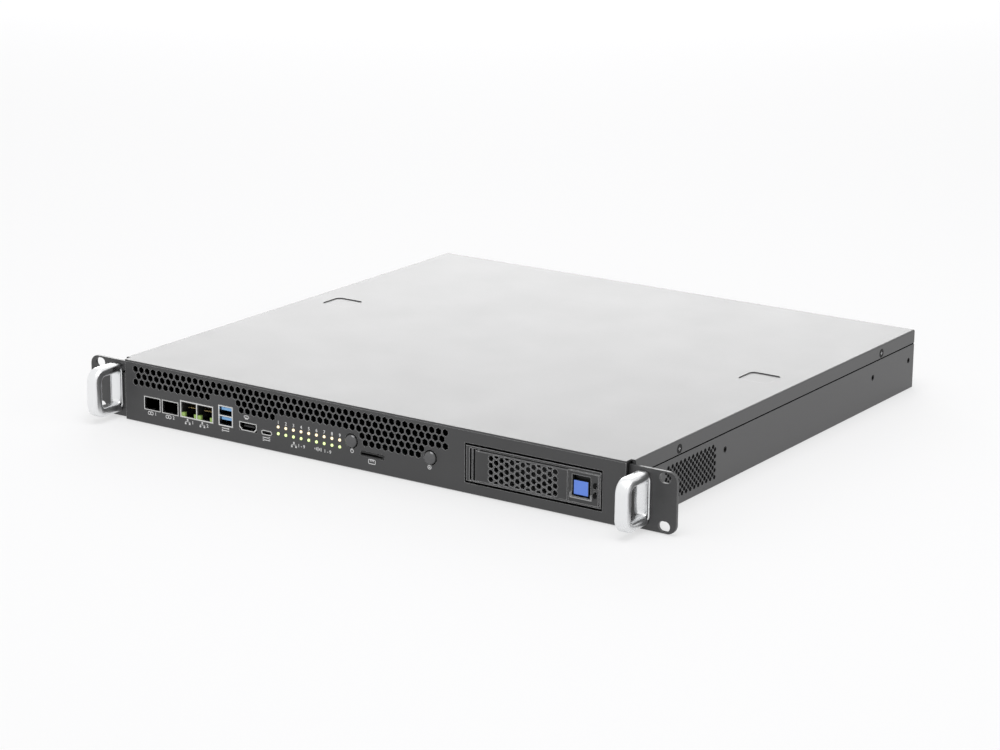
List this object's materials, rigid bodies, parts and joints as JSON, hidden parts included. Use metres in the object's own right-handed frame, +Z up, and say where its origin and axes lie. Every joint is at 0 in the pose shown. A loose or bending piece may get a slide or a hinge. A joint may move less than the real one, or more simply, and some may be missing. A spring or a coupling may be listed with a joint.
{
  "type": "rack server",
  "caption": "Low rack-mount server with front ports, honeycomb air intake, hot-swap drive tray with lever, two pull handles and a rear power inlet.",
  "frame": {"origin": "on the underside, in the middle of the width, at the plane of the rack posts behind the ears", "axes": "+X to the right seen from the front, +Y to the rear, +Z up"},
  "size_m": [0.4826, 0.4246, 0.0436],
  "materials": {
    "case_paint": "satin powder coat",
    "handle_metal": "satin",
    "screw_steel": "zinc plated",
    "black_screw": "black oxide",
    "port_plating": "bright plated",
    "cage_steel": "galvanised",
    "black_plastic": "moulded",
    "dark_plastic": "moulded",
    "button_metal": "dark anodised",
    "tongue_blue": "moulded",
    "latch_blue": "moulded",
    "lamp_amber": "clear",
    "lamp_green": "clear",
    "board_green": "solder mask",
    "cooler_metal": "extruded",
    "drive_metal": "cast",
    "chip_black": "moulded",
    "pin_brass": "plated"
  },
  "bodies": {
    "case": {"chassis_base": "case_paint", "top_cover": "case_paint", "front_panel": "case_paint", "rear_panel": "case_paint", "ear_right": "case_paint", "ear_left": "case_paint", "handle_right": "handle_metal", "handle_left": "handle_metal", "cover_screws": "black_screw", "ear_screws": "black_screw", "handle_screws": "screw_steel", "side_inserts": "screw_steel", "mainboard": "board_green", "board_standoffs": "pin_brass", "lan_jack_shell": "port_plating", "lan_jack_insert": "black_plastic", "lan_jack_lamps": "lamp_green", "data_port_shell": "port_plating", "data_port_tongues": "tongue_blue", "video_port_shell": "port_plating", "small_port_shell": "port_plating", "contact_tongues": "black_plastic", "card_socket": "black_plastic", "lamp_lenses_upper": "lamp_amber", "lamp_lenses_lower": "lamp_green", "lamp_holder": "black_plastic", "button_switches": "black_plastic", "drive_cage": "cage_steel", "drive_backplane": "board_green", "backplane_plug": "black_plastic", "compute_modules": "board_green", "module_sockets": "black_plastic", "module_heatsinks": "cooler_metal", "main_chip": "chip_black", "main_cooler": "cooler_metal", "fan_channel": "cage_steel", "psu_case": "cage_steel", "psu_inlet": "black_plastic", "inlet_pins": "pin_brass", "psu_fan_frame": "black_plastic", "fibre_cage_left": "port_plating", "fibre_cage_right": "port_plating", "fan_frame_1": "black_plastic", "fan_frame_2": "black_plastic", "fan_frame_3": "black_plastic", "fan_frame_4": "black_plastic"},
    "left_button": {"button_left": "button_metal"},
    "right_button": {"button_right": "button_metal"},
    "drive_tray": {"tray_frame": "cage_steel", "tray_bezel": "dark_plastic", "tray_light_pipes": "black_plastic", "hard_drive": "drive_metal", "lever_pin": "screw_steel"},
    "lever": {"tray_lever": "dark_plastic"},
    "latch": {"release_button": "latch_blue"},
    "psu_rotor": {"psu_fan_rotor": "black_plastic"},
    "rotor_1": {"fan_rotor_1": "black_plastic"},
    "rotor_2": {"fan_rotor_2": "black_plastic"},
    "rotor_3": {"fan_rotor_3": "black_plastic"},
    "rotor_4": {"fan_rotor_4": "black_plastic"}
  },
  "joints": [
    {"name": "left_button_press", "type": "slide", "parent": "case", "child": "left_button", "axis": [0, 1, 0], "range_m": [0, 0.001], "stiffness_N_per_m": 900},
    {"name": "right_button_press", "type": "slide", "parent": "case", "child": "right_button", "axis": [0, 1, 0], "range_m": [0, 0.001], "stiffness_N_per_m": 900},
    {"name": "tray_slide", "type": "slide", "parent": "case", "child": "drive_tray", "axis": [0, -1, 0], "range_m": [0, 0.14]},
    {"name": "lever_swing", "type": "hinge", "parent": "drive_tray", "child": "lever", "pos_m": [0.0943, -0.0046, 0.02065], "axis": [0, 0, -1], "range_deg": [0, 55]},
    {"name": "latch_press", "type": "slide", "parent": "drive_tray", "child": "latch", "axis": [0, 1, 0], "range_m": [0, 0.0015], "stiffness_N_per_m": 600},
    {"name": "psu_fan_spin", "type": "hinge", "parent": "case", "child": "psu_rotor", "pos_m": [0.145, 0.384, 0.02145], "axis": [0, 1, 0], "continuous": true},
    {"name": "fan_spin_1", "type": "hinge", "parent": "case", "child": "rotor_1", "pos_m": [-0.165, 0.276, 0.0222], "axis": [0, 1, 0], "continuous": true},
    {"name": "fan_spin_2", "type": "hinge", "parent": "case", "child": "rotor_2", "pos_m": [-0.097, 0.276, 0.0222], "axis": [0, 1, 0], "continuous": true},
    {"name": "fan_spin_3", "type": "hinge", "parent": "case", "child": "rotor_3", "pos_m": [-0.029, 0.276, 0.0222], "axis": [0, 1, 0], "continuous": true},
    {"name": "fan_spin_4", "type": "hinge", "parent": "case", "child": "rotor_4", "pos_m": [0.039, 0.276, 0.0222], "axis": [0, 1, 0], "continuous": true}
  ]
}
